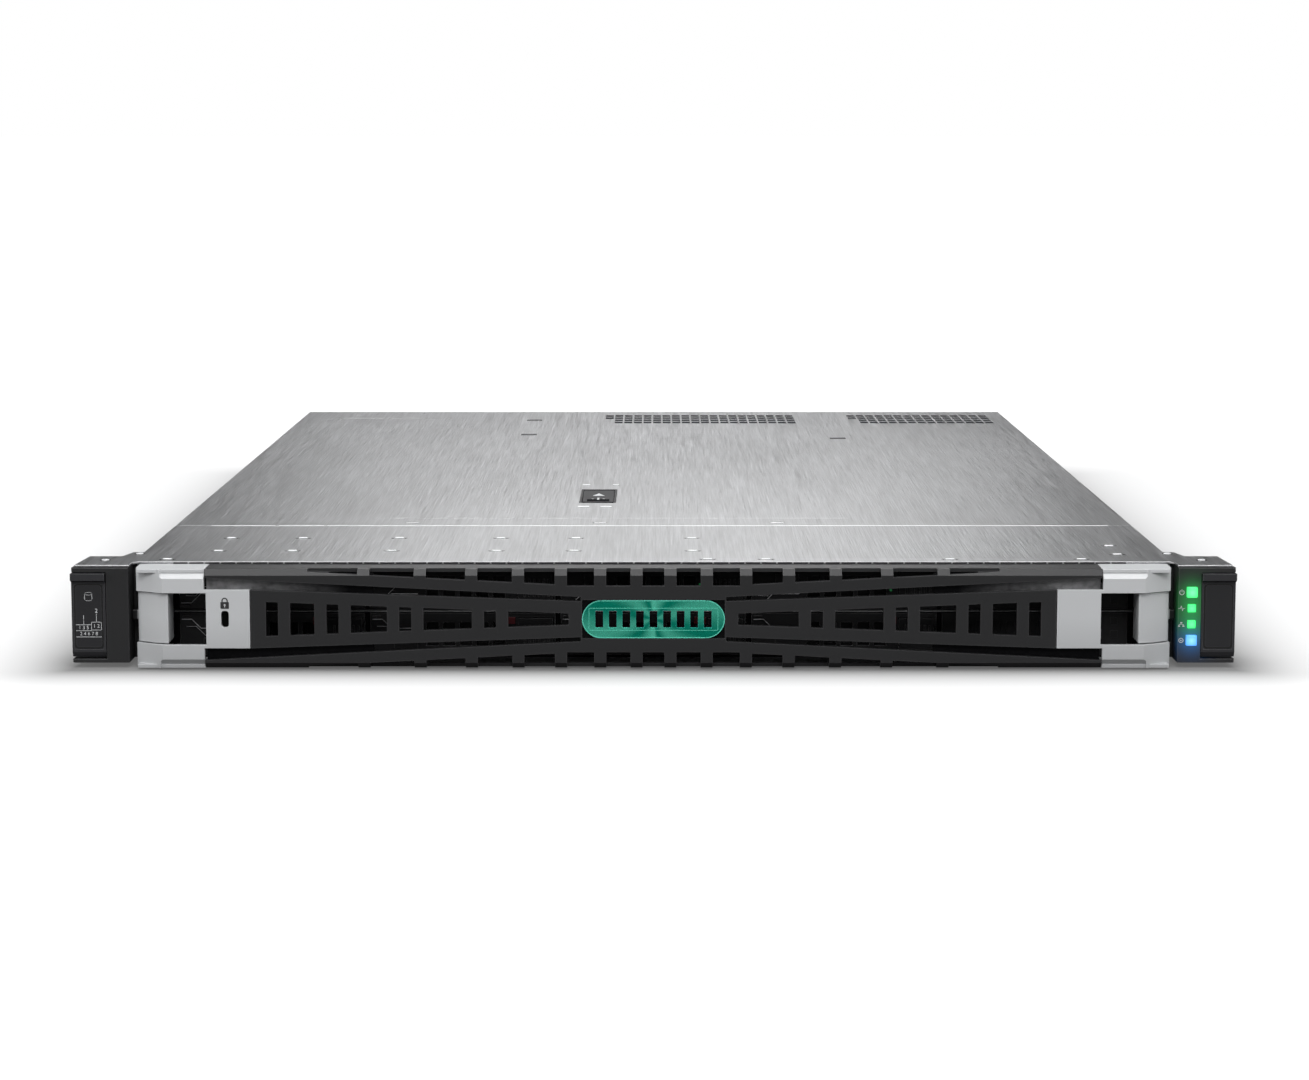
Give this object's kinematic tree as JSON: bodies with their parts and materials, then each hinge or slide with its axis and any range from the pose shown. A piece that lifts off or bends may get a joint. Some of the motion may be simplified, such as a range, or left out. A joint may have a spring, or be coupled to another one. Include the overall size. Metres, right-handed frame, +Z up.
{
  "type": "1u rack server",
  "caption": "Slim rack-mount server with a tapering slotted locking bezel, ears with flip levers, a removable vented hood, drives, fans and slide-out power supplies.",
  "frame": {"origin": "middle of the overall box at the plane of the underside", "axes": "+X to the right seen from the front, +Y from the bezel to the rear, +Z up"},
  "size_m": [0.4826, 0.736, 0.0428],
  "materials": {
    "brushed_grey_steel": "brushed, satin",
    "plated_steel": "zinc plated sheet",
    "dark_plastic": "fine grain",
    "light_plastic": "satin",
    "green_grille": "satin green",
    "lever_plastic": "fine grain",
    "latch_lever": "fine grain",
    "strip_metal": "bright",
    "supply_metal": "satin",
    "release_tab": "satin",
    "circuit_board": "solder mask",
    "connector_black": "satin",
    "fan_black": "satin",
    "sink_metal": "milled",
    "drive_metal": "dark satin",
    "blank_plastic": "fine grain",
    "screw_steel": "zinc plated",
    "baffle_plastic": "satin",
    "power_light": "emissive green",
    "status_light": "emissive green",
    "locator_light": "emissive blue",
    "port_metal": "plated"
  },
  "bodies": {
    "chassis": {"chassis_base": "plated_steel", "rail_studs": "screw_steel", "front_top_panel": "brushed_grey_steel", "drive_cage": "plated_steel", "drive_blanks": "blank_plastic", "drive_backplane": "circuit_board", "left_ear": "dark_plastic", "right_ear": "dark_plastic", "rack_screws": "screw_steel", "status_lights": "status_light", "fan_housings": "fan_black", "fan_tray": "plated_steel", "system_board": "circuit_board", "heat_sink": "sink_metal", "processor_socket": "connector_black", "memory_sockets": "connector_black", "memory_modules": "circuit_board", "air_baffle": "baffle_plastic", "supply_divider": "plated_steel", "rear_wall": "plated_steel", "video_port": "port_metal", "network_port": "port_metal", "usb_ports": "port_metal", "network_card": "plated_steel", "primary_riser": "plated_steel", "secondary_riser": "plated_steel", "slot_blanks": "plated_steel", "drive_1": "drive_metal", "drive_2": "drive_metal", "drive_3": "drive_metal", "drive_4": "drive_metal", "drive_5": "drive_metal", "drive_6": "drive_metal", "drive_7": "drive_metal", "drive_8": "drive_metal"},
    "hood": {"hood": "brushed_grey_steel", "hood_latch_cup": "connector_black"},
    "hood_latch_lever": {"hood_latch_lever": "latch_lever"},
    "bezel": {"bezel_frame": "dark_plastic", "bezel_grille": "green_grille", "bezel_strips": "strip_metal", "bezel_left_end": "light_plastic", "bezel_right_end": "light_plastic"},
    "bezel_left_latch": {"bezel_left_latch": "light_plastic"},
    "bezel_right_latch": {"bezel_right_latch": "light_plastic"},
    "left_ear_lever": {"left_ear_lever": "lever_plastic"},
    "right_ear_lever": {"right_ear_lever": "lever_plastic"},
    "power_button": {"power_button": "power_light"},
    "locator_button": {"locator_button": "locator_light"},
    "fan_rotor_1": {"fan_rotor_1": "fan_black"},
    "fan_rotor_2": {"fan_rotor_2": "fan_black"},
    "fan_rotor_3": {"fan_rotor_3": "fan_black"},
    "fan_rotor_4": {"fan_rotor_4": "fan_black"},
    "fan_rotor_5": {"fan_rotor_5": "fan_black"},
    "fan_rotor_6": {"fan_rotor_6": "fan_black"},
    "power_supply_1": {"power_supply_1": "supply_metal"},
    "power_supply_1_latch": {"power_supply_1_latch": "release_tab"},
    "power_supply_2": {"power_supply_2": "supply_metal"},
    "power_supply_2_latch": {"power_supply_2_latch": "release_tab"}
  },
  "joints": [
    {"name": "bezel_pull_off", "type": "slide", "parent": "chassis", "child": "bezel", "axis": [0, -1, 0], "range_m": [0, 0.06]},
    {"name": "bezel_left_latch_slide", "type": "slide", "parent": "bezel", "child": "bezel_left_latch", "axis": [1, 0, 0], "range_m": [0, 0.003], "stiffness_N_per_m": 300, "springref_m": -0.001},
    {"name": "bezel_right_latch_slide", "type": "slide", "parent": "bezel", "child": "bezel_right_latch", "axis": [-1, 0, 0], "range_m": [0, 0.003], "stiffness_N_per_m": 300, "springref_m": -0.001},
    {"name": "hood_lift", "type": "slide", "parent": "chassis", "child": "hood", "axis": [0, 0, 1], "range_m": [0, 0.15]},
    {"name": "hood_latch_hinge", "type": "hinge", "parent": "hood", "child": "hood_latch_lever", "pos_m": [-0.027, -0.0891, 0.0399], "axis": [-1, 0, 0], "range_deg": [0, 85]},
    {"name": "left_ear_lever_hinge", "type": "hinge", "parent": "chassis", "child": "left_ear_lever", "pos_m": [-0.234, -0.359, 0.0065], "axis": [1, 0, 0], "range_deg": [0, 80]},
    {"name": "right_ear_lever_hinge", "type": "hinge", "parent": "chassis", "child": "right_ear_lever", "pos_m": [0.234, -0.359, 0.0065], "axis": [1, 0, 0], "range_deg": [0, 80]},
    {"name": "power_button_press", "type": "slide", "parent": "chassis", "child": "power_button", "axis": [0, 1, 0], "range_m": [0, 0.0007], "stiffness_N_per_m": 400, "springref_m": -0.0003},
    {"name": "locator_button_press", "type": "slide", "parent": "chassis", "child": "locator_button", "axis": [0, 1, 0], "range_m": [0, 0.0007], "stiffness_N_per_m": 400, "springref_m": -0.0003},
    {"name": "fan_1_spin", "type": "hinge", "parent": "chassis", "child": "fan_rotor_1", "pos_m": [-0.165, -0.188, 0.0214], "axis": [0, 1, 0], "continuous": true},
    {"name": "fan_2_spin", "type": "hinge", "parent": "chassis", "child": "fan_rotor_2", "pos_m": [-0.099, -0.188, 0.0214], "axis": [0, 1, 0], "continuous": true},
    {"name": "fan_3_spin", "type": "hinge", "parent": "chassis", "child": "fan_rotor_3", "pos_m": [-0.033, -0.188, 0.0214], "axis": [0, 1, 0], "continuous": true},
    {"name": "fan_4_spin", "type": "hinge", "parent": "chassis", "child": "fan_rotor_4", "pos_m": [0.033, -0.188, 0.0214], "axis": [0, 1, 0], "continuous": true},
    {"name": "fan_5_spin", "type": "hinge", "parent": "chassis", "child": "fan_rotor_5", "pos_m": [0.099, -0.188, 0.0214], "axis": [0, 1, 0], "continuous": true},
    {"name": "fan_6_spin", "type": "hinge", "parent": "chassis", "child": "fan_rotor_6", "pos_m": [0.165, -0.188, 0.0214], "axis": [0, 1, 0], "continuous": true},
    {"name": "power_supply_1_pull_out", "type": "slide", "parent": "chassis", "child": "power_supply_1", "axis": [0, 1, 0], "range_m": [0, 0.19]},
    {"name": "power_supply_1_release", "type": "slide", "parent": "power_supply_1", "child": "power_supply_1_latch", "axis": [-1, 0, 0], "range_m": [0, 0.0025], "stiffness_N_per_m": 300, "springref_m": -0.001},
    {"name": "power_supply_2_pull_out", "type": "slide", "parent": "chassis", "child": "power_supply_2", "axis": [0, 1, 0], "range_m": [0, 0.19]},
    {"name": "power_supply_2_release", "type": "slide", "parent": "power_supply_2", "child": "power_supply_2_latch", "axis": [-1, 0, 0], "range_m": [0, 0.0025], "stiffness_N_per_m": 300, "springref_m": -0.001}
  ]
}
